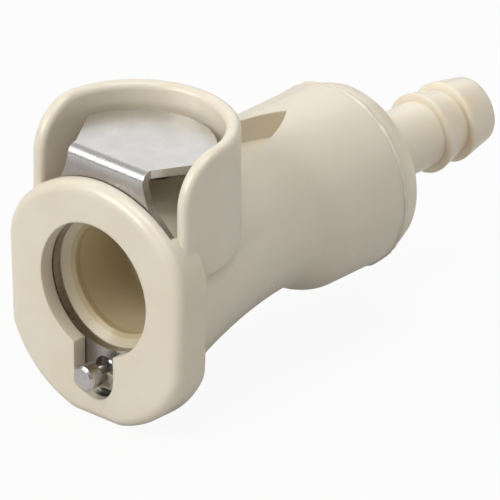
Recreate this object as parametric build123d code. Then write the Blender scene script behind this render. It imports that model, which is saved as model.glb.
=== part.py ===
from build123d import *
import os
from math import cos, pi, radians, sqrt, tan

# In-line thumb-latch quick disconnect coupling, socket half, valved, with a hose barb.
# Millimetres. +Z up, +Y runs from the socket mouth to the hose, +X across.
# The origin is on the bore axis, in the plane of the front face.
# The latch is shown pressed down and held by its pin, ready to take an insert.
# When an insert pushes the pin back 1.6, the latch rises 1.8; the valve opens by 3.

# --- Front flange -------------------------------------------------------------------
flange_half_width = 11.25       # at its widest
flange_widest = 2.0             # height of the widest place above the bore axis
flange_side_lean = 2.4          # degrees that the flat sides lean in towards the foot
flange_top_spread = 1.75        # radius of the arched top beyond the half width
flange_top = 10.75
flange_shoulder_round = 7.0     # between the arched top and the sides
flange_foot_spread = 0.55       # radius of the rounded foot beyond the half width
flange_foot_centre_drop = 2.15
flange_foot_cut = 0.35          # depth of the flat across the foot
flange_hip_round = 3.5          # corner between a side flat and the foot
flange_foot_round = 2.5         # corner between the foot's arc and its flat
flange_thick = 4.1
flange_front_round = 1.1
flange_back_round = 0.7
lip_thick = 1.55                # front wall, ahead of the latch slot

# --- Waist and barrel ------------------------------------------------------------------
barrel_radius = 9.15
flare_drop = 11.6               # underside of the horn behind the flange
waist_drop = 7.4                # underside of the waist
waist_end = 21.9
flare_power = 1.75
shoulder_length = 5.2           # swell from the waist to the barrel
barrel_run_in = 1.0             # straight part of the swell before the barrel
barrel_end = 33.7               # weld plane of the termination
barrel_back_chamfer = 0.15

# --- Thumb guard -------------------------------------------------------------------------
guard_half_width = 9.95
guard_wall = 1.45
guard_front = 2.1               # front edge of the two arms
guard_centre = 5.9              # centre of the round back
guard_top = 15.4
guard_corner_round = 5.0
guard_rim_round = 0.62
guard_foot = 2.3                # underside of the wall, buried in the horn
guard_foot_round = 1.3

# --- Pocket in the top, behind the guard -------------------------------------------------------
pocket_half_width = 2.8
pocket_end = 26.9
pocket_side_radius = 14.0       # sides that curve in to a point
pocket_floor = 6.55

# --- Bore and valve chamber ------------------------------------------------------------------------
mouth_radius = 6.75
lead_in_radius = 6.6
lead_in_length = 1.0
bore_radius = 5.62              # seal bore that takes the insert
bore_depth = 10.3
nest_radius = 5.3               # room for the valve's nose
nest_end = 14.0
port_radius = 3.6               # opening through the valve seat
port_length = 1.2
chamber_radius = 5.3
seat_ledge = 0.5                # flat between the seat's cone and the chamber wall
chamber_end = 27.5
spigot_socket_radius = 6.6

# --- Thumb latch, one bent and pierced plate ----------------------------------------------------
latch_gauge = 0.85
latch_side_clearance = 0.2
latch_face_clearance = 0.1
latch_half_width = 8.2
latch_aperture_radius = 6.66
latch_neck_half_width = 4.8     # at the fold
latch_neck_foot = (5.4, 9.8)    # half width and height where the neck starts to spread
latch_neck_sweep = 3.0          # hollow curve there
latch_shoulder_height = 7.2
latch_hip_drop = 4.0
latch_knee = (5.9, 8.5)         # half width and drop
latch_toe_half_width = 3.0
latch_toe_drop = 10.6
latch_pin_hole_radius = 1.26
latch_slot_floor_gap = 0.5
latch_bend_radius = 0.35        # inside
pad_top = 13.1
pad_flare = 0.6                 # widening for each millimetre of depth
pad_guard_gap = 0.8
pad_corner_round = 0.5

# --- Release pin -----------------------------------------------------------------------------------
pin_drop = 8.8                  # axis below the bore axis
pin_stand_out = 1.6             # head ahead of the front face
pin_head_radius = 1.28
pin_head_length = 1.5
pin_head_round = 0.22
pin_neck_radius = 0.5
pin_shaft_radius = 1.05
pin_cone_length = 0.49
pin_shaft_length = 3.2
pin_hole_clearance = 0.06
latch_fork_clearance = 0.15
notch_half_width = 2.5
notch_floor_drop = 11.4
pin_boss_radius = 2.25
pin_boss_end_wall = 1.2
pin_boss_end_round = 1.0
pin_spring_room = 3.6           # behind the pin at rest

# --- Springs: wire and coil radii, working turns ------------------------------------------------------
latch_spring_wire = 0.16
latch_spring_coil = 0.95
latch_spring_turns = 4.5
latch_spring_place = 5.0
latch_spring_pocket_floor = 6.65
latch_spring_side_gap = 0.15
pin_spring_wire = 0.14
pin_spring_coil = 0.85
pin_spring_turns = 3.5
valve_spring_wire = 0.25
valve_spring_coil = 2.45
valve_spring_turns = 5
spring_seat_gap = 0.05
coil_wire_sides = 6

# --- Relief hole in the deck under the pad --------------------------------------------------------------
relief_radius = 1.4
relief_place = 8.8
relief_floor = 6.6

# --- Valve poppet and its seal ---------------------------------------------------------------------------
poppet_nose_start = 10.6
poppet_vane_radius = 3.4
poppet_vane_thick = 0.9
poppet_vane_count = 4
poppet_front_rim_radius = 3.35
poppet_front_rim_thick = 0.5
poppet_head_radius = 4.5
poppet_head_thick = 1.3
poppet_stem_radius = 1.5
poppet_core_radius = 1.2
stem_end_gap = 0.6              # end of the stem ahead of the hub's end
seal_section_radius = 0.7
seal_ring_radius = 3.75
seal_seat_gap = 0.12
seal_groove_gap = 0.04

# --- Hose barb and termination ----------------------------------------------------------------------------
collar_front_radius = 9.05
collar_waist_radius = 8.85      # where the collar starts to round off
collar_waist_place = 1.2
collar_brow_radius = 8.4
collar_brow_place = 2.35
collar_back_radius = 7.8
collar_length = 3.0
collar_lip = 0.45
collar_dish = 0.5
spigot_clearance = 0.05
spigot_inner_radius = 5.0
spigot_end_gap = 0.1
hub_radius = 2.9
hub_length = 3.0
hub_bore_clearance = 0.06
spoke_width = 1.5
spoke_count = 3
barb_neck_radius = 3.3
barb_root_radius = 5.2
barb_root_length = 1.6
barb_first = 45.8               # first sharp ring
barb_second = 49.1
barb_end = 52.7
barb_ring_radius = 4.0
barb_waist_radius = 3.25
barb_tip_radius = 3.35
barb_ring_land = 0.25
barb_bore_radius = 2.25
barb_bore_round = 0.3

# --- Places that follow from the sizes above ----------------------------------------------------------------
latch_front = lip_thick + latch_face_clearance
latch_back = latch_front + latch_gauge
slot_back = latch_back + latch_face_clearance
guard_inner = guard_half_width - guard_wall
barrel_start = waist_end + shoulder_length + barrel_run_in
pin_hole_radius = pin_shaft_radius + pin_hole_clearance
pin_shaft_start = slot_back
pin_cone_start = pin_shaft_start - pin_cone_length
pin_shaft_end = pin_shaft_start + pin_shaft_length
pin_hole_end = pin_shaft_end + pin_spring_room
pad_bottom = pad_top - latch_gauge
port_start = nest_end
seat_start = port_start + port_length
chamber_start = seat_start + chamber_radius - port_radius - seat_ledge
seal_place = seat_start + sqrt(2) * (seal_section_radius + seal_seat_gap) + seal_ring_radius - port_radius
head_front = seal_place + seal_section_radius + seal_groove_gap
head_back = head_front + poppet_head_thick
groove_front = seal_place - seal_section_radius - seal_groove_gap
rim_front = groove_front - poppet_front_rim_thick
spigot_start = chamber_end + spigot_end_gap
hub_end = spigot_start + hub_length
stem_end = hub_end - stem_end_gap
collar_end = barrel_end + collar_length


def station(y, z=0.0):
    """Plane square to the bore axis, its own y pointing up."""
    return Plane(origin=(0, y, z), x_dir=(-1, 0, 0), z_dir=(0, 1, 0))


def bar(radius, y_start, y_end, z=0.0, x=0.0):
    """Round bar along Y."""
    length = y_end - y_start
    disc = Plane(origin=(x, y_start, z), x_dir=(-1, 0, 0), z_dir=(0, 1, 0)) * Circle(radius)
    return extrude(disc, amount=length)


def turned(points):
    """Solid of revolution about the Y axis from (y, radius) points."""
    face = make_face(Plane.YZ * Polyline(*points, close=True))
    return revolve(face, axis=Axis.Y)


def mirrored_outline(half_points):
    """Closed polygon from the points of its right half, listed from top to bottom."""
    right = list(half_points)
    left = [(-x, z) for x, z in reversed(right)]
    return make_face(Polyline(*right, *left, close=True))


def coil(wire, radius, turns, length):
    """Coil spring along +Z with its wire ends inside the stated length."""
    rise = length - 2 * wire
    path = Helix(pitch=rise / turns, height=rise, radius=radius)
    section = Plane(origin=path @ 0, z_dir=path % 0) * RegularPolygon(wire, coil_wire_sides)
    return Pos(0, 0, wire) * sweep(section, path=path, is_frenet=True)


# --- Coupling body ---------------------------------------------------------------------------------------------
def flange_outline():
    """Arched top with round shoulders, leaning flat sides and a rounded foot with a narrow flat."""
    lean = tan(radians(flange_side_lean))
    side_top = flange_half_width + (flange_top - flange_widest) * lean
    foot_radius = flange_half_width + flange_foot_spread
    foot_drop = flange_foot_centre_drop + foot_radius - flange_foot_cut
    side_bottom = flange_half_width - (foot_drop + flange_widest) * lean
    sides = mirrored_outline([(side_top, flange_top), (side_bottom, -foot_drop)])
    top_radius = flange_half_width + flange_top_spread
    arch = Pos(0, flange_top - top_radius) * Circle(top_radius)
    foot = Pos(0, -flange_foot_centre_drop) * Circle(foot_radius)
    below = Pos(0, -flange_foot_centre_drop - foot_radius) * Rectangle(4 * side_top, 2 * foot_radius)
    outline = (sides & arch) - (below - foot)
    on_foot = outline.vertices().group_by(Axis.Y)[0]
    outline = fillet(on_foot, flange_foot_round)
    at_hips = outline.vertices().filter_by(
        lambda v: abs(v.X) > side_bottom - 0.01 and v.Y < -flange_foot_centre_drop)
    outline = fillet(at_hips, flange_hip_round)
    at_shoulders = outline.vertices().filter_by(
        lambda v: abs(v.X) > flange_half_width / 2 and v.Y > flange_widest)
    return fillet(at_shoulders, flange_shoulder_round)


def flange():
    plate = extrude(station(0) * flange_outline(), amount=flange_thick)
    front = plate.faces().sort_by(Axis.Y)[0].outer_wire().edges()
    plate = fillet(front, flange_front_round)
    back = plate.faces().sort_by(Axis.Y)[-1].outer_wire().edges()
    return fillet(back, flange_back_round)


def underside_drop(y):
    """Depth of the body's underside: the horn's flare, then the swell into the barrel."""
    if y <= flange_thick:
        return flare_drop
    if y <= waist_end:
        left = (waist_end - y) / (waist_end - flange_thick)
        return waist_drop + (flare_drop - waist_drop) * left ** flare_power
    swell = min((y - waist_end) / shoulder_length, 1)
    return waist_drop + (barrel_radius - waist_drop) * (1 - cos(pi * swell)) / 2


def body_section(y):
    """Round section that keeps the level top line and reaches down to the underside."""
    drop = underside_drop(y)
    radius = (barrel_radius + drop) / 2
    return station(y, (barrel_radius - drop) / 2) * Circle(radius)


def horn():
    """Flared waist: level along the top, drawn in underneath, then swelling into the barrel."""
    flare_steps = 5
    flare = [flange_thick + i / flare_steps * (waist_end - flange_thick) for i in range(flare_steps)]
    swell_steps = 5
    swell = [waist_end + i / swell_steps * shoulder_length for i in range(swell_steps + 1)]
    return loft([body_section(y) for y in [lip_thick / 2, *flare, *swell, barrel_start]])


def barrel():
    drum = bar(barrel_radius, barrel_start, barrel_end)
    return chamfer(drum.edges().group_by(Axis.Y)[-1], barrel_back_chamfer)


def guard_plan(half_width, y_front):
    """Plan of the guard: a round back and straight sides, on the ground plane."""
    back = Pos(0, guard_centre) * Circle(half_width)
    sides = Pos(0, (guard_centre + y_front) / 2) * Rectangle(2 * half_width, guard_centre - y_front)
    behind = Pos(0, guard_centre + half_width) * Rectangle(4 * half_width, 2 * half_width)
    return (back & behind) + sides


def guard():
    wall = guard_plan(guard_half_width, guard_front) - guard_plan(guard_inner, guard_front - 1)
    wall = extrude(Plane.XY.offset(guard_foot) * wall, amount=guard_top - guard_foot)
    side_length = 2 * guard_half_width + guard_centre
    side = Plane.YZ * (Pos(guard_front + side_length / 2, 0) * Rectangle(side_length, 2 * guard_top))
    top_front = side.vertices().sort_by(Axis.Y)[:2].sort_by(Axis.Z)[-1]
    side = fillet(top_front, guard_corner_round)
    wall &= extrude(side, amount=2 * guard_half_width, both=True)

    def is_rim(edge):
        across = abs((edge % 0.5).X) > 0.99 and edge.length < guard_wall * 1.1
        tangent_line = abs((edge @ 0.5).Y - guard_centre) < 0.01 and abs((edge % 0.5).Z) > 0.99
        return (edge @ 0.5).Z > guard_foot + 0.01 and not across and not tangent_line

    wall = fillet(wall.edges().filter_by(is_rim), guard_rim_round)
    tub = guard_plan(guard_half_width, guard_front - guard_wall)
    tub = extrude(Plane.XY.offset(guard_foot) * tub, amount=2 * guard_top)
    keel = tub.edges().group_by(Axis.Z)[0].filter_by(lambda edge: (edge @ 0.5).Y > guard_front)
    return wall & fillet(keel, guard_foot_round)


def latch_outline(grow=0.0):
    """Front view of the upright part of the latch, up to the fold."""
    neck_top = pad_top - latch_gauge - latch_bend_radius
    outline = mirrored_outline([
        (latch_neck_half_width, neck_top),
        latch_neck_foot,
        (latch_half_width + grow, latch_shoulder_height),
        (latch_half_width + grow, -latch_hip_drop),
        (latch_knee[0] + grow, -latch_knee[1] - grow / 2),
        (latch_toe_half_width + grow / 2, -latch_toe_drop - grow),
    ])
    at_neck = outline.vertices().filter_by(
        lambda v: abs(v.Y - latch_neck_foot[1]) < 0.01)
    return fillet(at_neck, latch_neck_sweep)


def latch_slot():
    """Slot that the latch slides in, open upward."""
    lower = latch_outline(latch_side_clearance)
    room = 2 * (latch_half_width + latch_side_clearance)
    upper = Pos(0, guard_top / 2) * Rectangle(room, guard_top)
    floor = Pos(0, -latch_toe_drop) * Rectangle(2 * latch_toe_half_width, 2 * latch_slot_floor_gap)
    return extrude(station(lip_thick) * (lower + upper + floor), amount=slot_back - lip_thick)


def bore():
    """Mouth, seal bore, valve port and seat, valve chamber and spigot socket."""
    return turned([
        (-1, 0),
        (-1, mouth_radius),
        (lip_thick, mouth_radius),
        (slot_back, lead_in_radius),
        (slot_back + lead_in_length, bore_radius),
        (bore_depth, bore_radius),
        (bore_depth + bore_radius - nest_radius, nest_radius),
        (nest_end, nest_radius),
        (port_start, port_radius),
        (seat_start, port_radius),
        (chamber_start, port_radius + chamber_start - seat_start),
        (chamber_start, chamber_radius),
        (chamber_end, chamber_radius),
        (chamber_end, spigot_socket_radius),
        (barrel_end + 1, spigot_socket_radius),
        (barrel_end + 1, 0),
    ])


def pin_passage():
    """Notch through the lip under the mouth, and the blind hole for the pin and its spring."""
    notch = Pos(0, -notch_floor_drop + notch_half_width) * Circle(notch_half_width)
    notch += Pos(0, -(notch_floor_drop - notch_half_width) / 2) * Rectangle(
        2 * notch_half_width, notch_floor_drop - notch_half_width)
    cut = extrude(station(-1) * notch, amount=lip_thick + 1)
    return cut + bar(pin_hole_radius, slot_back - 0.1, pin_hole_end, z=-pin_drop)


def pocket():
    """Channel in the top of the barrel, its sides curving in to a point."""
    start = guard_centre + guard_inner
    inset = pocket_side_radius - pocket_half_width
    curve_start = pocket_end - sqrt(pocket_side_radius ** 2 - inset ** 2)
    right_side = Pos(-inset, curve_start) * Circle(pocket_side_radius)
    left_side = Pos(inset, curve_start) * Circle(pocket_side_radius)
    straight = Pos(0, (start + curve_start) / 2) * Rectangle(2 * pocket_half_width, curve_start - start)
    behind = Pos(0, start + pocket_side_radius) * Rectangle(2 * pocket_side_radius, 2 * pocket_side_radius)
    plan = (right_side & left_side & behind) + straight
    return extrude(Plane.XY.offset(pocket_floor) * plan, amount=guard_top)


def coupling_body():
    deck = horn()
    plate = flange()
    thumb_space = extrude(guard_plan(guard_inner, lip_thick), amount=2 * guard_top)
    plate -= thumb_space
    outside = deck + barrel()
    boss = bar(pin_boss_radius, lip_thick / 2, pin_hole_end + pin_boss_end_wall, z=-pin_drop)
    boss = fillet(boss.edges().group_by(Axis.Y)[-1], pin_boss_end_round)
    body = outside + boss + plate + guard()
    body -= bore()
    channel = pocket() - extrude(guard_plan(guard_half_width, guard_front), amount=2 * guard_top)
    body -= channel
    body -= latch_slot()
    body -= pin_passage()
    well = Pos(0, latch_spring_place, latch_spring_pocket_floor)
    well_radius = latch_spring_coil + latch_spring_wire + latch_spring_side_gap
    body -= well * Cylinder(well_radius, guard_top, align=(Align.CENTER, Align.CENTER, Align.MIN))
    relief = Pos(0, relief_place, relief_floor)
    body -= relief * Cylinder(relief_radius, guard_top, align=(Align.CENTER, Align.CENTER, Align.MIN))
    return body


# --- Thumb latch -------------------------------------------------------------------------------------------------
def thumb_latch():
    """Upright plate with the aperture and pin fork, folded over into the thumb pad."""
    upright = extrude(station(latch_front) * latch_outline(), amount=latch_gauge)
    upright -= bar(latch_aperture_radius, 0, slot_back)
    upright -= bar(latch_pin_hole_radius, 0, slot_back, z=-pin_drop)
    fork = 2 * (pin_neck_radius + latch_fork_clearance)
    slit = Pos(0, -pin_drop - latch_toe_drop / 2) * Rectangle(fork, latch_toe_drop)
    upright -= extrude(station(0) * slit, amount=slot_back)

    outer = latch_bend_radius + latch_gauge
    fold_y = latch_front + outer
    fold_z = pad_top - outer
    depth = guard_centre + guard_inner - pad_guard_gap
    ring = Circle(outer) - Circle(latch_bend_radius)
    corner = Pos(-outer / 2, outer / 2) * Rectangle(outer, outer)
    bend = Plane.YZ * (Pos(fold_y, fold_z) * (ring & corner))
    bend = extrude(bend, amount=latch_neck_half_width, both=True)

    pad_radius = guard_inner - pad_guard_gap
    blade_far = depth - fold_y
    blade = mirrored_outline([
        (latch_neck_half_width + pad_flare * blade_far, fold_y + blade_far),
        (latch_neck_half_width, fold_y),
    ])
    disc = Pos(0, guard_centre) * Circle(pad_radius)
    front_part = Pos(0, guard_centre - pad_radius) * Rectangle(4 * pad_radius, 2 * pad_radius)
    plan = blade & (disc + front_part)
    rear_corners = plan.vertices().filter_by(lambda v: v.Y > fold_y + 0.5)
    plan = fillet(rear_corners, pad_corner_round)
    pad = extrude(Plane.XY.offset(pad_bottom) * plan, amount=latch_gauge)
    return upright + bend + pad


# --- Pin ---------------------------------------------------------------------------------------------------------
def latch_pin():
    """Headed pin: neck through the fork, cone and shaft behind the latch."""
    head_front_y = -pin_stand_out
    head_back_y = head_front_y + pin_head_length
    pin = turned([
        (head_front_y, 0),
        (head_front_y, pin_head_radius - pin_head_round),
        (head_front_y + pin_head_round, pin_head_radius),
        (head_back_y, pin_head_radius),
        (head_back_y, pin_neck_radius),
        (pin_cone_start, pin_neck_radius),
        (pin_shaft_start, pin_shaft_radius),
        (pin_shaft_end, pin_shaft_radius),
        (pin_shaft_end, 0),
    ])
    return Pos(0, 0, -pin_drop) * pin


# --- Springs -------------------------------------------------------------------------------------------------------
def latch_spring():
    floor = latch_spring_pocket_floor + spring_seat_gap
    length = pad_bottom - spring_seat_gap - floor
    spring = coil(latch_spring_wire, latch_spring_coil, latch_spring_turns, length)
    return Pos(0, latch_spring_place, floor) * spring


def along_y(shape, y, z):
    """Lay a shape built along +Z on the line along +Y through a point."""
    return Pos(0, y, z) * (Rot(-90, 0, 0) * shape)


def pin_spring():
    start = pin_shaft_end + spring_seat_gap
    length = pin_hole_end - spring_seat_gap - start
    return along_y(coil(pin_spring_wire, pin_spring_coil, pin_spring_turns, length), start, -pin_drop)


def valve_spring():
    start = head_back + spring_seat_gap
    length = spigot_start - spring_seat_gap - start
    return along_y(coil(valve_spring_wire, valve_spring_coil, valve_spring_turns, length), start, 0)


# --- Valve -----------------------------------------------------------------------------------------------------------
def valve_poppet():
    """Vaned nose, grooved head and guide stem."""
    groove_radius = seal_ring_radius - seal_section_radius - seal_groove_gap
    poppet = turned([
        (poppet_nose_start, 0),
        (poppet_nose_start, poppet_core_radius),
        (rim_front, poppet_core_radius),
        (rim_front, poppet_front_rim_radius),
        (groove_front, poppet_front_rim_radius),
        (groove_front, groove_radius),
        (head_front, groove_radius),
        (head_front, poppet_head_radius),
        (head_back, poppet_head_radius),
        (head_back, poppet_stem_radius),
        (stem_end, poppet_stem_radius),
        (stem_end, 0),
    ])
    vane_length = rim_front - poppet_nose_start
    vane_plan = Pos(poppet_vane_radius / 2, 0) * Rectangle(poppet_vane_radius, poppet_vane_thick)
    for i in range(poppet_vane_count):
        vane = Rot(0, 0, 360 / poppet_vane_count * i) * vane_plan
        poppet += extrude(station(poppet_nose_start) * vane, amount=vane_length)
    return poppet


def valve_seal():
    return Pos(0, seal_place, 0) * (Rot(90, 0, 0) * Torus(seal_ring_radius, seal_section_radius))


# --- Termination -------------------------------------------------------------------------------------------------------
def hose_barb():
    """Welded termination: spigot with the spring spider, collar, neck and two barbs."""
    spigot_radius = spigot_socket_radius - spigot_clearance
    outside = turned([
        (spigot_start, 0),
        (spigot_start, spigot_radius),
        (barrel_end, spigot_radius),
        (barrel_end, collar_front_radius),
        (barrel_end + collar_waist_place, collar_waist_radius),
        (barrel_end + collar_brow_place, collar_brow_radius),
        (collar_end, collar_back_radius),
        (collar_end, collar_back_radius - collar_lip),
        (collar_end - collar_dish, collar_back_radius - 2 * collar_lip),
        (collar_end - collar_dish, barb_root_radius),
        (collar_end - collar_dish + barb_root_length, barb_neck_radius),
        (barb_first, barb_neck_radius),
        (barb_first, barb_ring_radius),
        (barb_first + barb_ring_land, barb_ring_radius),
        (barb_second, barb_waist_radius),
        (barb_second, barb_ring_radius),
        (barb_second + barb_ring_land, barb_ring_radius),
        (barb_end, barb_tip_radius),
        (barb_end, 0),
    ])
    passage = turned([
        (spigot_start - 1, 0),
        (spigot_start - 1, spigot_inner_radius),
        (barrel_end, spigot_inner_radius),
        (collar_end, barb_bore_radius),
        (barb_end - barb_bore_round, barb_bore_radius),
        (barb_end + 0.01, barb_bore_radius + barb_bore_round),
        (barb_end + 0.01, 0),
    ])
    piece = outside - passage
    hub = bar(hub_radius, spigot_start, hub_end)
    reach = (spigot_inner_radius + spigot_radius) / 2
    spoke_plan = Pos(reach / 2, 0) * Rectangle(reach, spoke_width)
    for i in range(spoke_count):
        spoke = Rot(0, 0, 360 / spoke_count * i + 90) * spoke_plan
        hub += extrude(station(spigot_start) * spoke, amount=hub_length)
    hub -= bar(poppet_stem_radius + hub_bore_clearance, spigot_start - 1, hub_end + 1)
    return piece + hub


PIECES = {
    "coupling_body": coupling_body,
    "thumb_latch": thumb_latch,
    "latch_spring": latch_spring,
    "latch_pin": latch_pin,
    "pin_spring": pin_spring,
    "valve_poppet": valve_poppet,
    "valve_seal": valve_seal,
    "valve_spring": valve_spring,
    "hose_barb": hose_barb,
}

os.makedirs("parts", exist_ok=True)
for name, make in PIECES.items():
    export_step(make(), f"parts/{name}.step")
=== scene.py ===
"""Dressed model of a plastic quick disconnect coupling with a sheet steel thumb latch."""

import logging
import math
from dataclasses import dataclass
from enum import Enum
from typing import Any, Union

import bmesh
import bpy
from mathutils import Matrix, Vector, noise


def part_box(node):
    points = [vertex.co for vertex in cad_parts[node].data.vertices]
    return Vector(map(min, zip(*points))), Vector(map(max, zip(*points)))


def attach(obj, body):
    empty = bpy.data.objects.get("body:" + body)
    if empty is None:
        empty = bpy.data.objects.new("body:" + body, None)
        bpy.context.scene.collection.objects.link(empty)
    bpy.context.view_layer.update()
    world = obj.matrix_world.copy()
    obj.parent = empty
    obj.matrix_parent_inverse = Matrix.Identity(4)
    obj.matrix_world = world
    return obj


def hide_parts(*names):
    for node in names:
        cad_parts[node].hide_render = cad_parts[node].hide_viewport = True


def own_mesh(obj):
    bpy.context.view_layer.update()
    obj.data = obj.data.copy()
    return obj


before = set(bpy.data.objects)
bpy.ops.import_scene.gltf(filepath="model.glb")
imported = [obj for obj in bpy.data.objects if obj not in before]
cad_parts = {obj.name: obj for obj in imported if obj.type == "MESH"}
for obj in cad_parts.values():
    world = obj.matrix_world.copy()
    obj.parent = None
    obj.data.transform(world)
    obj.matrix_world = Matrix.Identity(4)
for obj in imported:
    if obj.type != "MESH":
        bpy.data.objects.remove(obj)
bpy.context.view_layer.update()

log = logging.getLogger("coupling")

MM = 0.001
MIDDLE = 0.5
BEVEL_SAMPLES = 6
MATERIAL_OUTPUT = "ShaderNodeOutputMaterial"
WORLD_OUTPUT = "ShaderNodeOutputWorld"
UPRIGHT = (0.0, 0.0, 0.0)
EVEN = (1.0, 1.0, 1.0)
Colour = tuple[float, float, float]
Value = Union["Wire", float, int]


class Slot(Enum):
    """Material slots of the record."""

    IVORY_PLASTIC = "ivory_plastic"
    SPRING_STEEL = "spring_steel"


class Body(Enum):
    """Moving group of the record that new pieces ride on."""

    HOUSING = "housing"


class Joint(Enum):
    """Travels of the record that squeeze a spring."""

    PIN_PUSH = "pin_push"
    VALVE_OPEN = "valve_open"


class Wire:
    """An output socket that takes part in arithmetic."""

    def __init__(self, bench: "Bench", socket: bpy.types.NodeSocket) -> None:
        """Wraps a socket of the bench's node tree.

        Args:
            bench: The node tree the socket belongs to.
            socket: The output socket.
        """
        self.bench = bench
        self.socket = socket

    def _math(self, operation: str, first: Value, second: Value) -> "Wire":
        """Adds one Math node and returns its output."""
        return self.bench.node("ShaderNodeMath", {"operation": operation}, {0: first, 1: second})

    def __add__(self, other: Value) -> "Wire":
        """Returns the sum."""
        return self._math("ADD", self, other)

    def __radd__(self, other: Value) -> "Wire":
        """Returns the sum, with a number on the left."""
        return self._math("ADD", other, self)

    def __sub__(self, other: Value) -> "Wire":
        """Returns the difference."""
        return self._math("SUBTRACT", self, other)

    def __rsub__(self, other: Value) -> "Wire":
        """Returns the difference, with a number on the left."""
        return self._math("SUBTRACT", other, self)

    def __mul__(self, other: Value) -> "Wire":
        """Returns the product."""
        return self._math("MULTIPLY", self, other)

    def __rmul__(self, other: Value) -> "Wire":
        """Returns the product, with a number on the left."""
        return self._math("MULTIPLY", other, self)

    def __truediv__(self, other: Value) -> "Wire":
        """Returns the quotient."""
        return self._math("DIVIDE", self, other)

    def __pow__(self, other: Value) -> "Wire":
        """Returns the power."""
        return self._math("POWER", self, other)

    def ramp(self, low: float, high: float) -> "Wire":
        """Maps low..high smoothly on to 0..1.

        Args:
            low: Value that becomes 0.
            high: Value that becomes 1.

        Returns:
            The mapped value.
        """
        return self.bench.node(
            "ShaderNodeMapRange",
            {"interpolation_type": "SMOOTHSTEP", "clamp": True},
            {"Value": self, "From Min": low, "From Max": high},
        )


class Bench:
    """A node tree that is being built, with one method that adds any node."""

    def __init__(self, owner: Union[bpy.types.Material, bpy.types.World]) -> None:
        """Empties the owner's node tree.

        Args:
            owner: The material or world that the nodes belong to.
        """
        owner.use_nodes = True
        self.owner = owner
        self.tree = owner.node_tree
        self.tree.nodes.clear()

    def node(
        self, kind: str, settings: dict[str, Any], inputs: dict[Any, Any], output: Any = 0
    ) -> Wire:
        """Adds a node, sets it up, then fills its sockets.

        Args:
            kind: The node's type.
            settings: Properties that are set before any socket.
            inputs: Socket name or index to a value or a Wire.
            output: Name or index of the output to return.

        Returns:
            The chosen output.
        """
        made = self.tree.nodes.new(kind)
        for name, value in settings.items():
            setattr(made, name, value)
        for name, value in inputs.items():
            self._fill(made.inputs[name], value)
        return Wire(self, made.outputs[output])

    def _fill(self, socket: bpy.types.NodeSocket, value: Any) -> None:
        """Links a Wire to a socket, or sets the socket's value."""
        if isinstance(value, Wire):
            self.tree.links.new(value.socket, socket)
        else:
            socket.default_value = value

    def place(self, turn: Colour = UPRIGHT, size: Colour = EVEN) -> Wire:
        """Returns object coordinates in millimetres, turned and stretched.

        Args:
            turn: Euler turn in radians.
            size: Extra scale along each axis.

        Returns:
            The coordinates.
        """
        coordinates = self.node("ShaderNodeTexCoord", {}, {}, "Object")
        scale = tuple(s / MM for s in size)
        return self.node(
            "ShaderNodeMapping",
            {"vector_type": "POINT"},
            {"Vector": coordinates, "Rotation": turn, "Scale": scale},
        )

    def axes(self) -> tuple[Wire, Wire, Wire]:
        """Returns the object coordinates X, Y and Z in millimetres."""
        parts = self.node("ShaderNodeSeparateXYZ", {}, {"Vector": self.place()}).socket.node
        return tuple(Wire(self, parts.outputs[axis]) for axis in "XYZ")

    def seen(self) -> Wire:
        """Returns 1 where the camera looks, also through clear pieces, and 0 elsewhere."""
        rays = self.node("ShaderNodeLightPath", {}, {}).socket.node.outputs
        return Wire(self, rays["Is Camera Ray"]) + Wire(self, rays["Is Transmission Ray"])

    def mix(self, share: Value, first: Any, second: Any, blend: str = "MIX") -> Wire:
        """Mixes two colours.

        Args:
            share: Share of the second colour.
            first: Colour or Wire.
            second: Colour or Wire.
            blend: Blend type of the Mix node.

        Returns:
            The mixed colour.
        """
        made = self.node(
            "ShaderNodeMix", {"data_type": "RGBA", "blend_type": blend}, {0: share}, 2
        )
        sockets = made.socket.node.inputs
        for index, colour in ((6, first), (7, second)):
            self._fill(sockets[index], colour if isinstance(colour, Wire) else (*colour, 1.0))
        return made

    def bump(self, height: Wire, depth: float, round_edge: float = 0.0) -> Wire:
        """Turns a height from 0 to 1 into a normal.

        Args:
            height: The height.
            depth: Depth in metres of a height of 1.
            round_edge: Radius in metres that sharp edges seem to be rounded with.

        Returns:
            The normal.
        """
        inputs: dict[str, Any] = {"Height": height, "Distance": depth}
        if round_edge > 0.0:
            inputs["Normal"] = self.node(
                "ShaderNodeBevel", {"samples": BEVEL_SAMPLES}, {"Radius": round_edge}
            )
        return self.node("ShaderNodeBump", {}, inputs)

    def close(self, kind: str, surface: Wire) -> Union[bpy.types.Material, bpy.types.World]:
        """Joins a shader to the output.

        Args:
            kind: Type of the output node.
            surface: The shader.

        Returns:
            The finished material or world.
        """
        output = self.tree.nodes.new(kind)
        self._fill(output.inputs["Surface"], surface)
        return self.owner


def linear(red: int, green: int, blue: int) -> Colour:
    """Turns a display colour of 0 to 255 into a linear one.

    Args:
        red: Red.
        green: Green.
        blue: Blue.

    Returns:
        The linear colour.
    """

    def one(level: int) -> float:
        """Turns one channel."""
        share = level / 255.0
        return share / 12.92 if share <= 0.04045 else ((share + 0.055) / 1.055) ** 2.4

    return one(red), one(green), one(blue)


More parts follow.
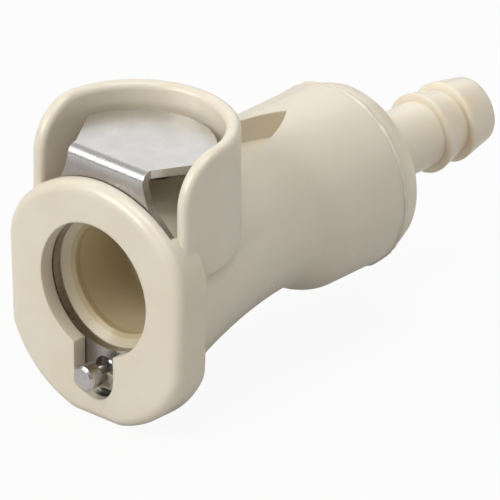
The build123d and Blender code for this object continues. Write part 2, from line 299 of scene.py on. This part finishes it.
@dataclass(frozen=True)
class Pattern:
    """A smooth noise that runs over a surface from 0 to 1 about the middle.

    Attributes:
        scale: Features per millimetre.
        detail: Octaves.
        grit: Weight of the finer octaves.
        stretch: Extra scale along each axis.
        turn: Euler turn in radians.
        band: Levels between which the pattern sets in where it is used as a mask.
        sway: How far the pattern moves the roughness.
    """

    scale: float
    detail: float = 2.0
    grit: float = 0.5
    stretch: Colour = EVEN
    turn: Colour = UPRIGHT
    band: tuple[float, float] = (0.0, 1.0)
    sway: float = 0.0

    def on(self, bench: Bench) -> Wire:
        """Adds the pattern to a node tree.

        Args:
            bench: The node tree.

        Returns:
            The pattern's level.
        """
        return bench.node(
            "ShaderNodeTexNoise",
            {},
            {
                "Vector": bench.place(self.turn, self.stretch),
                "Scale": self.scale,
                "Detail": self.detail,
                "Roughness": self.grit,
            },
        )

    def swing(self, level: Wire) -> Wire:
        """Returns what the pattern adds to the roughness.

        Args:
            level: The pattern's level.

        Returns:
            The change of roughness.
        """
        return (level - MIDDLE) * self.sway


@dataclass(frozen=True)
class PaintedRecessShade:
    """A round recess whose inside gets painted shade, with the plastic's colour darkened there.

    Attributes:
        axis: Index of the axis that the recess is round about.
        centre: Centre in millimetres.
        radius: Radius in millimetres.
        half: Half length along the axis in millimetres.
        tint: Painted shade colour that the plastic is multiplied with inside.
        from_x: Where the tint sets in along X, if it doesn't fill the recess.
        rim: Width in millimetres over which the tint sets in at the rim.
        end: Square millimetres over which it sets in at the ends.
        spread: Millimetres over which it sets in along X.
    """

    axis: int
    centre: Colour
    radius: float
    half: float
    tint: Colour
    from_x: Union[float, None] = None
    rim: float = 0.06
    end: float = 0.2
    spread: float = 0.9

    def share(self, axes: tuple[Wire, Wire, Wire]) -> Wire:
        """Returns 1 inside the recess and 0 outside.

        Args:
            axes: Object coordinates in millimetres.

        Returns:
            The share.
        """
        offsets = [one - middle for one, middle in zip(axes, self.centre)]
        along = offsets.pop(self.axis)
        first, second = offsets
        across = (first * first + second * second) ** 0.5
        inside = (self.radius - across).ramp(0.0, self.rim)
        inside = inside * (self.half * self.half - along * along).ramp(0.0, self.end)
        if self.from_x is not None:
            inside = inside * axes[0].ramp(self.from_x, self.from_x + self.spread)
        return inside


@dataclass(frozen=True)
class MouldedPlastic:
    """Satin moulded plastic with a spark-eroded grain, faint flow marks and painted shade in
    recesses.

    Attributes:
        name: The material's name.
        pale: Colour of the surface where the resin is clearest.
        warm: Colour where it looks thicker and yellower.
        gloss: Middle roughness.
        glow: Subsurface weight.
        edge: Radius in metres that the mould gives its sharp edges.
        sheen: Weight of the polished skin.
        sheen_gloss: Roughness of the polished skin.
        depth: Depth in metres of the grain.
        speck_share: Strength of the specks.
        bleed: Subsurface radius of each colour, as a share of bleed_depth.
        bleed_depth: Depth in metres that light reaches.
        painted_recess_shades: Recesses that get painted shade.
    """

    name: str
    pale: Colour
    warm: Colour
    gloss: float = 0.31
    glow: float = 0.22
    edge: float = 0.00028
    sheen: float = 0.35
    sheen_gloss: float = 0.16
    depth: float = 0.000007
    speck_share: float = 0.1
    bleed: Colour = (1.0, 0.7, 0.4)
    bleed_depth: float = 0.0012
    painted_recess_shades: tuple[PaintedRecessShade, ...] = ()

    FLOW = Pattern(0.16, 3.0, 0.5, (1.0, 0.35, 1.0), band=(0.3, 0.72), sway=0.12)
    GRAIN = Pattern(5.5, 2.0, 0.6, sway=0.1)
    PITS = Pattern(1.6, 3.0, 0.6)
    SPECKS = Pattern(2.4, 1.0, 0.4, band=(0.78, 0.84))

    def make(self) -> bpy.types.Material:
        """Builds the material."""
        bench = Bench(bpy.data.materials.new(self.name))
        flow = self.FLOW.on(bench)
        grain = self.GRAIN.on(bench)
        colour = bench.mix(flow.ramp(*self.FLOW.band), self.pale, self.warm)
        speck = self.SPECKS.on(bench).ramp(*self.SPECKS.band)
        colour = bench.mix(speck * self.speck_share, colour, self.warm, "MULTIPLY")
        axes = bench.axes()
        # Painted shade: the colour is darkened inside each listed recess.
        for painted_recess_shade in self.painted_recess_shades:
            colour = bench.mix(painted_recess_shade.share(axes), colour, painted_recess_shade.tint, "MULTIPLY")
        height = grain * 0.5 + self.PITS.on(bench) * 0.5
        surface = bench.node(
            "ShaderNodeBsdfPrincipled",
            {},
            {
                "Base Color": colour,
                "Roughness": self.gloss + self.FLOW.swing(flow) + self.GRAIN.swing(grain),
                "Normal": bench.bump(height, self.depth, self.edge),
                "IOR": 1.48,
                "Coat Weight": self.sheen,
                "Coat Roughness": self.sheen_gloss,
                "Subsurface Weight": self.glow,
                "Subsurface Radius": self.bleed,
                "Subsurface Scale": self.bleed_depth,
            },
        )
        return bench.close(MATERIAL_OUTPUT, surface)


@dataclass(frozen=True)
class SheetSteel:
    """Rolled stainless steel with a fine grain along Z, a few scuffs and painted shade on the
    lower upright.

    Attributes:
        name: The material's name.
        colour: Reflectance of the clean metal.
        dull: Reflectance of the handled metal.
        gloss: Middle roughness.
        shade: Painted shade colour that the upright below the band is multiplied with.
        shade_band: Heights in millimetres between which the painted shade fades out.
        dull_share: Strength of the handled patches.
        worn_gloss: What a scuff adds to the roughness.
        depth: Depth in metres of the rolling grain.
    """

    name: str
    colour: Colour
    dull: Colour
    gloss: float = 0.3
    shade: Colour = (0.6, 0.57, 0.56)
    shade_band: tuple[float, float] = (11.1, 12.8)
    dull_share: float = 0.6
    worn_gloss: float = 0.08
    depth: float = 0.000006

    LINES = Pattern(9.0, 3.0, 0.6, (1.0, 1.0, 0.06), sway=0.22)
    CLOUD = Pattern(0.5, 3.0, 0.5, band=(0.35, 0.7), sway=0.12)
    SCUFFS = Pattern(3.0, 2.0, 0.5, (1.0, 0.12, 1.0), (0.4, 0.9, 0.2), (0.62, 0.74))

    def make(self) -> bpy.types.Material:
        """Builds the material."""
        bench = Bench(bpy.data.materials.new(self.name))
        lines = self.LINES.on(bench)
        cloud = self.CLOUD.on(bench)
        worn = self.SCUFFS.on(bench).ramp(*self.SCUFFS.band)
        handled = cloud.ramp(*self.CLOUD.band) * self.dull_share
        colour = bench.mix(handled, self.colour, self.dull)
        # Painted shade: the upright below the band is darkened.
        painted_shade_share = 1.0 - bench.axes()[2].ramp(*self.shade_band)
        colour = bench.mix(painted_shade_share, colour, self.shade, "MULTIPLY")
        rough = self.gloss + self.LINES.swing(lines) + self.CLOUD.swing(cloud)
        surface = bench.node(
            "ShaderNodeBsdfPrincipled",
            {},
            {
                "Base Color": colour,
                "Metallic": 1.0,
                "Roughness": rough + worn * self.worn_gloss,
                "Normal": bench.bump(lines * 0.8 - worn * 0.5, self.depth),
            },
        )
        return bench.close(MATERIAL_OUTPUT, surface)


@dataclass(frozen=True)
class TurnedSteel:
    """Turned stainless steel with lathe rings about an axis along Y.

    Attributes:
        name: The material's name.
        colour: Reflectance.
        centre: Height of the axis in millimetres.
        gloss: Middle roughness.
        ring_scale: Lathe rings per millimetre.
        ring_sway: How far the rings move the roughness.
        stain: Share of the colour left in the darkest patches.
        stain_share: Strength of the patches.
        depth: Depth in metres of the rings.
    """

    name: str
    colour: Colour
    centre: float
    gloss: float = 0.27
    ring_scale: float = 14.0
    ring_sway: float = 0.2
    stain: float = 0.82
    stain_share: float = 0.5
    depth: float = 0.000008

    CLOUD = Pattern(1.4, 3.0, 0.5, band=(0.4, 0.75), sway=0.14)

    def make(self) -> bpy.types.Material:
        """Builds the material."""
        bench = Bench(bpy.data.materials.new(self.name))
        across, along, height = bench.axes()
        up = height - self.centre
        radius = (across * across + up * up) ** 0.5
        rings = bench.node(
            "ShaderNodeTexNoise",
            {"noise_dimensions": "1D"},
            {"W": radius + along, "Scale": self.ring_scale, "Detail": 3.0},
        )
        cloud = self.CLOUD.on(bench)
        dark = tuple(level * self.stain for level in self.colour)
        patches = cloud.ramp(*self.CLOUD.band) * self.stain_share
        rough = self.gloss + (rings - MIDDLE) * self.ring_sway + self.CLOUD.swing(cloud)
        surface = bench.node(
            "ShaderNodeBsdfPrincipled",
            {},
            {
                "Base Color": bench.mix(patches, self.colour, dark),
                "Metallic": 1.0,
                "Roughness": rough,
                "Normal": bench.bump(rings, self.depth),
            },
        )
        return bench.close(MATERIAL_OUTPUT, surface)


@dataclass(frozen=True)
class DrawnWire:
    """Drawn spring wire, darker where the lubricant stays.

    Attributes:
        name: The material's name.
        colour: Reflectance.
        gloss: Least roughness.
        film: Share of the colour left under the lubricant.
        depth: Depth in metres of the drawing marks.
    """

    name: str
    colour: Colour
    gloss: float = 0.24
    film: float = 0.6
    depth: float = 0.000004

    CLOUD = Pattern(2.5, 3.0, 0.6, band=(0.45, 0.7), sway=0.2)
    MARKS = Pattern(12.0)

    def make(self) -> bpy.types.Material:
        """Builds the material."""
        bench = Bench(bpy.data.materials.new(self.name))
        cloud = self.CLOUD.on(bench)
        dark = tuple(level * self.film for level in self.colour)
        surface = bench.node(
            "ShaderNodeBsdfPrincipled",
            {},
            {
                "Base Color": bench.mix(cloud.ramp(*self.CLOUD.band), self.colour, dark),
                "Metallic": 1.0,
                "Roughness": self.gloss + cloud * self.CLOUD.sway,
                "Normal": bench.bump(self.MARKS.on(bench), self.depth),
            },
        )
        return bench.close(MATERIAL_OUTPUT, surface)


@dataclass(frozen=True)
class SealRubber:
    """Moulded rubber with a matt bloom.

    Attributes:
        name: The material's name.
        colour: Base colour.
        bloom: Colour of the dusty bloom.
        gloss: Least roughness.
        bloom_share: Strength of the bloom.
        depth: Depth in metres of the moulded grain.
    """

    name: str
    colour: Colour
    bloom: Colour
    gloss: float = 0.5
    bloom_share: float = 0.5
    depth: float = 0.00001

    CLOUD = Pattern(1.2, 4.0, 0.6, band=(0.45, 0.75), sway=0.2)
    GRAIN = Pattern(8.0)

    def make(self) -> bpy.types.Material:
        """Builds the material."""
        bench = Bench(bpy.data.materials.new(self.name))
        cloud = self.CLOUD.on(bench)
        dusty = cloud.ramp(*self.CLOUD.band) * self.bloom_share
        surface = bench.node(
            "ShaderNodeBsdfPrincipled",
            {},
            {
                "Base Color": bench.mix(dusty, self.colour, self.bloom),
                "Roughness": self.gloss + cloud * self.CLOUD.sway,
                "Normal": bench.bump(self.GRAIN.on(bench), self.depth),
            },
        )
        return bench.close(MATERIAL_OUTPUT, surface)


@dataclass(frozen=True)
class PlainGround:
    """White floor that keeps the object's shadow.

    Attributes:
        name: The material's name.
        lift: Share of plain white seen by the camera.
        paper: Colour of the floor's surface.
        fibre: Colour of its darker patches.
        fibre_share: Strength of the patches.
    """

    name: str = "white_floor"
    lift: float = 0.93
    paper: Colour = (0.6, 0.59, 0.58)
    fibre: Colour = (0.56, 0.55, 0.54)
    fibre_share: float = 0.03

    PATCHES = Pattern(0.06, 2.0, band=(0.3, 0.8))

    def make(self) -> bpy.types.Material:
        """Builds the material."""
        bench = Bench(bpy.data.materials.new(self.name))
        patches = self.PATCHES.on(bench).ramp(*self.PATCHES.band) * self.fibre_share
        paper = bench.mix(patches, self.paper, self.fibre)
        matt = bench.node("ShaderNodeBsdfDiffuse", {}, {"Color": paper})
        white = bench.node("ShaderNodeEmission", {}, {"Color": (1.0, 1.0, 1.0, 1.0)})
        share = bench.seen() * self.lift
        surface = bench.node("ShaderNodeMixShader", {}, {0: share, 1: matt, 2: white})
        return bench.close(MATERIAL_OUTPUT, surface)


PAINTED_RECESS_SHADES = (
    # Painted shade: the relief hole under the pad, nearly black inside.
    PaintedRecessShade(2, (0.0, 8.8, 7.6), 1.42, 1.4, (0.04, 0.035, 0.03)),
    # Painted shade: the recess below the latch toe, nearly black from x = -1.1 mm on.
    PaintedRecessShade(1, (0.0, 1.4, -9.5), 2.6, 0.6, (0.05, 0.045, 0.045), -1.1),
    # Painted shade: the bore, darker and warmer inside.
    PaintedRecessShade(1, (0.0, 12.0, 0.0), 6.0, 9.0, (0.86, 0.8, 0.64)),
    # Painted shade: the lead-in ring at the mouth, a little darker.
    PaintedRecessShade(1, (0.0, 3.2, 0.0), 6.8, 1.1, (0.86, 0.83, 0.74)),
)
IVORY = MouldedPlastic(
    "ivory_acetal", linear(228, 220, 203), linear(224, 214, 194), painted_recess_shades=PAINTED_RECESS_SHADES
)
BARB_IVORY = MouldedPlastic(
    "barb_acetal", linear(238, 230, 214), linear(233, 220, 194), glow=0.7, edge=0.0005
)
VALVE_WHITE = MouldedPlastic("valve_acetal", linear(214, 210, 202), linear(200, 194, 184))
LATCH_STEEL = SheetSteel("latch_sheet_steel", (0.74, 0.73, 0.71), (0.66, 0.65, 0.63))
PIN_STEEL = TurnedSteel("pin_turned_steel", (0.62, 0.61, 0.6), -8.8)
SPRING_STEEL = DrawnWire("spring_wire", (0.5, 0.49, 0.47))
RUBBER = SealRubber("seal_rubber", (0.016, 0.016, 0.017), (0.05, 0.05, 0.05))


def dress(node: str, material: bpy.types.Material) -> None:
    """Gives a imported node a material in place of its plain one.

    Args:
        node: The node's name.
        material: The material.
    """
    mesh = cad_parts[node].data
    mesh.materials.clear()
    mesh.materials.append(material)


def keep(
    name: str, shape: bmesh.types.BMesh, material: bpy.types.Material, sharp: float = 40.0
) -> bpy.types.Object:
    """Stores a finished bmesh as an object at the origin.

    Args:
        name: The object's name.
        shape: The mesh, which is freed.
        material: Its material.
        sharp: Edges that turn more than this many degrees stay sharp.

    Returns:
        The object.
    """
    bmesh.ops.recalc_face_normals(shape, faces=shape.faces)
    for face in shape.faces:
        face.smooth = True
    for edge in shape.edges:
        if len(edge.link_faces) == 2 and edge.calc_face_angle() > math.radians(sharp):
            edge.smooth = False
    mesh = bpy.data.meshes.new(name)
    shape.to_mesh(mesh)
    shape.free()
    mesh.materials.append(material)
    made = bpy.data.objects.new(name, mesh)
    bpy.context.scene.collection.objects.link(made)
    return made


@dataclass(frozen=True)
class CoilSpring:
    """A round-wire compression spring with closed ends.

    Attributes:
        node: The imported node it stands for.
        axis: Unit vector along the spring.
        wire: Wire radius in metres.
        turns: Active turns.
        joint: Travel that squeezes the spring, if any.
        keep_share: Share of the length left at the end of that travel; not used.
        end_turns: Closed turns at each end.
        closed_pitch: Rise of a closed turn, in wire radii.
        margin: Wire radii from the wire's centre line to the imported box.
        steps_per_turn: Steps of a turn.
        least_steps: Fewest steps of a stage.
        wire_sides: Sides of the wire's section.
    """

    node: str
    axis: tuple[float, float, float]
    wire: float
    turns: float
    joint: Union[Joint, None] = None
    keep_share: float = 1.0
    end_turns: float = 0.75
    closed_pitch: float = 2.05
    margin: float = 1.02
    steps_per_turn: int = 28
    least_steps: int = 4
    wire_sides: int = 12

    def build(self, material: bpy.types.Material) -> bpy.types.Object:
        """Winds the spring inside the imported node's box.

        Args:
            material: The wire's material.

        Returns:
            The object.
        """
        low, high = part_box(self.node)
        axis = Vector(self.axis)
        middle = (low + high) / 2
        length = abs((high - low).dot(axis))
        spread = (high - low) - axis * (high - low).dot(axis)
        across = max(abs(spread.x), abs(spread.y), abs(spread.z)) / 2
        inset = self.wire * self.margin
        start = middle - axis * (length / 2 - inset)
        shape = bmesh.new()
        section = self._section(shape, axis, start, across - inset)
        rest = length - 2 * inset
        closed = self.wire * self.closed_pitch * self.end_turns
        for turns, rise in (
            (self.end_turns, closed),
            (self.turns, rest - 2 * closed),
            (self.end_turns, closed),
        ):
            steps = max(self.least_steps, round(turns * self.steps_per_turn))
            wound = bmesh.ops.spin(
                shape,
                geom=section,
                cent=start,
                axis=axis,
                dvec=axis * (rise / steps),
                angle=2 * math.pi * turns,
                steps=steps,
                use_merge=False,
                use_duplicate=False,
            )
            section = wound["geom_last"]
        made = keep(f"{self.node}_wire", shape, material)
        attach(made, Body.HOUSING.value)
        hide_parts(self.node)
        if self.joint is not None:
            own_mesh(made)
        return made

    def _section(
        self, shape: bmesh.types.BMesh, axis: Vector, start: Vector, mean: float
    ) -> list[Any]:
        """Adds the wire's end section at the mean radius and returns its geometry."""
        outward = axis.orthogonal().normalized()
        side = axis.cross(outward)
        ring = bmesh.ops.create_circle(
            shape, radius=self.wire, segments=self.wire_sides, cap_ends=False
        )
        turn = Matrix((outward, axis, side)).transposed().to_4x4()
        seat = Matrix.Translation(start + outward * mean) @ turn
        bmesh.ops.transform(shape, matrix=seat, verts=ring["verts"])
        bmesh.ops.holes_fill(shape, edges=shape.edges[:])
        return list(shape.verts) + list(shape.edges) + list(shape.faces)


@dataclass(frozen=True)
class WeldBead:
    """The thin uneven bead that spin welding leaves round the collar's seam.

    Attributes:
        radius: Radius of the seam in metres.
        place: Distance of the seam along the bore axis.
        bead: Half thickness of the bead.
        wave: Most that the bead swells or shrinks.
        steps: Steps round the axis.
        sides: Sides of the bead's section.
        swell_waves: Waves per unit circle of the swelling, coarse and fine.
        drift_waves: Waves per unit circle of the drift along the axis.
        fine_share: Strength of the fine swelling and of the drift.
    """

    radius: float = 9.06 * MM
    place: float = 33.72 * MM
    bead: float = 0.24 * MM
    wave: float = 0.13 * MM
    steps: int = 288
    sides: int = 10
    swell_waves: tuple[float, float] = (9.0, 31.0)
    drift_waves: float = 5.0
    fine_share: float = 0.5

    def build(self, material: bpy.types.Material) -> bpy.types.Object:
        """Spins the bead and makes it uneven.

        Args:
            material: The bead's material.

        Returns:
            The object.
        """
        shape = bmesh.new()
        ring = bmesh.ops.create_circle(shape, radius=self.bead, segments=self.sides)
        seam = Vector((0.0, self.place, 0.0))
        start = Matrix.Translation(seam + Vector((self.radius, 0.0, 0.0)))
        bmesh.ops.transform(shape, matrix=start, verts=ring["verts"])
        bmesh.ops.spin(
            shape,
            geom=shape.verts[:] + shape.edges[:],
            cent=seam,
            axis=(0.0, 1.0, 0.0),
            angle=2 * math.pi,
            steps=self.steps,
            use_merge=True,
        )
        coarse, fine = self.swell_waves
        other_place = Vector((3.0, 0.0, 0.0))
        for vert in shape.verts:
            out = Vector((vert.co.x, 0.0, vert.co.z)).normalized()
            centre = seam + out * self.radius
            swell = noise.noise(out * coarse) + self.fine_share * noise.noise(out * fine)
            drift = self.fine_share * noise.noise(out * self.drift_waves + other_place)
            vert.co = centre + (vert.co - centre) * (1.0 + swell * self.wave / self.bead)
            vert.co.y += drift * self.wave
        made = keep("weld_bead", shape, material)
        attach(made, Body.HOUSING.value)
        return made


@dataclass(frozen=True)
class Palette:
    """The finished materials that the sub-assemblies share."""

    ivory: bpy.types.Material
    barb: bpy.types.Material
    sheet: bpy.types.Material
    turned: bpy.types.Material
    valve: bpy.types.Material
    rubber: bpy.types.Material
    wire: bpy.types.Material

    @classmethod
    def mixed(cls) -> "Palette":
        """Makes every material once."""
        return cls(
            ivory=IVORY.make(),
            barb=BARB_IVORY.make(),
            sheet=LATCH_STEEL.make(),
            turned=PIN_STEEL.make(),
            valve=VALVE_WHITE.make(),
            rubber=RUBBER.make(),
            wire=SPRING_STEEL.make(),
        )


@dataclass(frozen=True)
class Latch:
    """The sheet steel thumb latch and the spring that lifts it.

    Attributes:
        spring: The spring under the pad.
    """

    spring: CoilSpring = CoilSpring("latch_spring", (0, 0, 1), 0.16 * MM, 3.0)

    def build(self, paint: Palette) -> list[bpy.types.Object]:
        """Dresses the latch and winds its spring.

        Args:
            paint: The materials.

        Returns:
            The new pieces.
        """
        dress("thumb_latch", paint.sheet)
        return [self.spring.build(paint.wire)]


@dataclass(frozen=True)
class ReleasePin:
    """The turned pin that holds the latch down, and the spring behind it.

    Attributes:
        spring: The spring behind the pin.
    """

    spring: CoilSpring = CoilSpring(
        "pin_spring", (0, 1, 0), 0.14 * MM, 3.0, Joint.PIN_PUSH, 0.55
    )

    def build(self, paint: Palette) -> list[bpy.types.Object]:
        """Dresses the pin and winds its spring.

        Args:
            paint: The materials.

        Returns:
            The new pieces.
        """
        dress("latch_pin", paint.turned)
        return [self.spring.build(paint.wire)]


@dataclass(frozen=True)
class Valve:
    """The poppet with its seal, and the spring that closes it.

    Attributes:
        spring: The spring behind the poppet.
    """

    spring: CoilSpring = CoilSpring(
        "valve_spring", (0, 1, 0), 0.25 * MM, 4.0, Joint.VALVE_OPEN, 0.6
    )

    def build(self, paint: Palette) -> list[bpy.types.Object]:
        """Dresses the poppet and the seal and winds the spring.

        Args:
            paint: The materials.

        Returns:
            The new pieces.
        """
        dress("valve_poppet", paint.valve)
        dress("valve_seal", paint.rubber)
        return [self.spring.build(paint.wire)]


@dataclass(frozen=True)
class Housing:
    """The moulded body with the hose barb that is welded to it.

    Attributes:
        bead: The bead on the weld's seam.
    """

    bead: WeldBead = WeldBead()

    def build(self, paint: Palette) -> list[bpy.types.Object]:
        """Dresses the two mouldings and lays the weld bead.

        Args:
            paint: The materials.

        Returns:
            The new pieces.
        """
        dress("coupling_body", paint.ivory)
        dress("hose_barb", paint.barb)
        return [self.bead.build(paint.ivory)]


def face(made: bpy.types.Object, aim: Vector, back: Vector, distance: float) -> None:
    """Places a lamp or camera so that it looks at a point.

    Args:
        made: The lamp or camera.
        aim: The point in metres.
        back: Unit vector from the point towards the lamp or camera.
        distance: Distance in metres.
    """
    made.location = aim + back * distance
    made.rotation_euler = back.to_track_quat("Z", "Y").to_euler()


@dataclass(frozen=True)
class Lamp:
    """A square soft lamp that faces the coupling.

    Attributes:
        name: The lamp's name.
        place: Place in metres.
        size: Side in metres.
        power: Power in watts.
        tint: Colour of the light.
    """

    name: str
    place: Colour
    size: float
    power: float
    tint: Colour = EVEN

    def hang(self, aim: Vector) -> None:
        """Hangs the lamp.

        Args:
            aim: The point that it lights.
        """
        data = bpy.data.lights.new(self.name, "AREA")
        data.shape = "SQUARE"
        data.size = self.size
        data.energy = self.power
        data.color = self.tint
        made = bpy.data.objects.new(self.name, data)
        bpy.context.scene.collection.objects.link(made)
        reach = Vector(self.place) - aim
        face(made, aim, reach.normalized(), reach.length)


@dataclass(frozen=True)
class Studio:
    """Camera, lamps, room and floor.

    Attributes:
        aim: Point at the middle of the view, in metres.
        back: Vector from that point towards the camera.
        distance: Distance of the camera in metres.
        width: Width in metres that the view takes in at that point.
        sensor: Width of the camera's sensor in millimetres.
        clip: Nearest and farthest distance that the camera sees.
        horizon: Strength of the room's light near the horizon.
        zenith: Strength of the room's light from above.
        dusk: Heights of a direction between which the room brightens.
        floor_size: Half side of the floor in metres.
        floor_gap: Gap in metres between the coupling and the floor.
        lamps: The lamps.
    """

    aim: tuple[float, float, float] = (-0.0001, 0.0219, -0.00377)
    back: tuple[float, float, float] = (0.6072, -0.6600, 0.4431)
    distance: float = 2.1
    width: float = 47.4 * MM
    sensor: float = 36.0
    clip: tuple[float, float] = (0.1, 20.0)
    horizon: float = 0.2
    zenith: float = 0.4
    dusk: tuple[float, float] = (0.1, 0.6)
    floor_size: float = 3.0
    floor_gap: float = 0.00002
    lamps: tuple[Lamp, ...] = (
        Lamp("key", (-0.3, -0.72, 0.55), 0.55, 5.5, (1.0, 0.99, 0.97)),
        Lamp("top", (0.05, 0.05, 0.95), 0.6, 3.6),
        Lamp("back", (-0.73, 0.79, 0.53), 1.0, 2.0),
        Lamp("glint", (0.55, -0.05, 0.8), 0.12, 0.45),
    )

    def camera(self) -> None:
        """Sets the camera on its tripod."""
        data = bpy.data.cameras.new("camera")
        data.sensor_width = self.sensor
        data.lens = self.sensor * self.distance / self.width
        data.clip_start, data.clip_end = self.clip
        made = bpy.data.objects.new("camera", data)
        bpy.context.scene.collection.objects.link(made)
        face(made, Vector(self.aim), Vector(self.back).normalized(), self.distance)
        bpy.context.scene.camera = made

    def ground(self) -> None:
        """Lays the floor under the coupling."""
        low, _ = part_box("coupling_body")
        shape = bmesh.new()
        bmesh.ops.create_grid(shape, x_segments=1, y_segments=1, size=self.floor_size)
        lift = (0.0, 0.0, low.z - self.floor_gap)
        bmesh.ops.translate(shape, verts=shape.verts, vec=lift)
        keep("floor", shape, PlainGround().make())

    def room(self) -> None:
        """Fills the room with pale light, plain white to the camera."""
        bench = Bench(bpy.data.worlds.new("studio"))
        direction = bench.node("ShaderNodeTexCoord", {}, {}, "Generated")
        height = bench.node("ShaderNodeSeparateXYZ", {}, {"Vector": direction}, "Z")
        sky = self.horizon + height.ramp(*self.dusk) * (self.zenith - self.horizon)
        strength = sky + bench.seen() * (1.0 - sky)
        light = bench.node(
            "ShaderNodeBackground", {}, {"Color": (1.0, 1.0, 1.0, 1.0), "Strength": strength}
        )
        bpy.context.scene.world = bench.close(WORLD_OUTPUT, light)

    def build(self) -> None:
        """Sets up the whole studio."""
        self.camera()
        self.ground()
        self.room()
        for lamp in self.lamps:
            lamp.hang(Vector(self.aim))
        bpy.context.scene.view_settings.view_transform = "Standard"


def main() -> None:
    """Builds every piece in order and reports each."""
    logging.basicConfig(level=logging.INFO, format="%(name)s: %(message)s")
    paint = Palette.mixed()
    for assembly in (Latch(), ReleasePin(), Valve(), Housing()):
        for made in assembly.build(paint):
            faces = len(made.data.polygons)
            log.info("%s: %s, %d faces", type(assembly).__name__, made.name, faces)
    Studio().build()


if __name__ == "__main__":
    main()
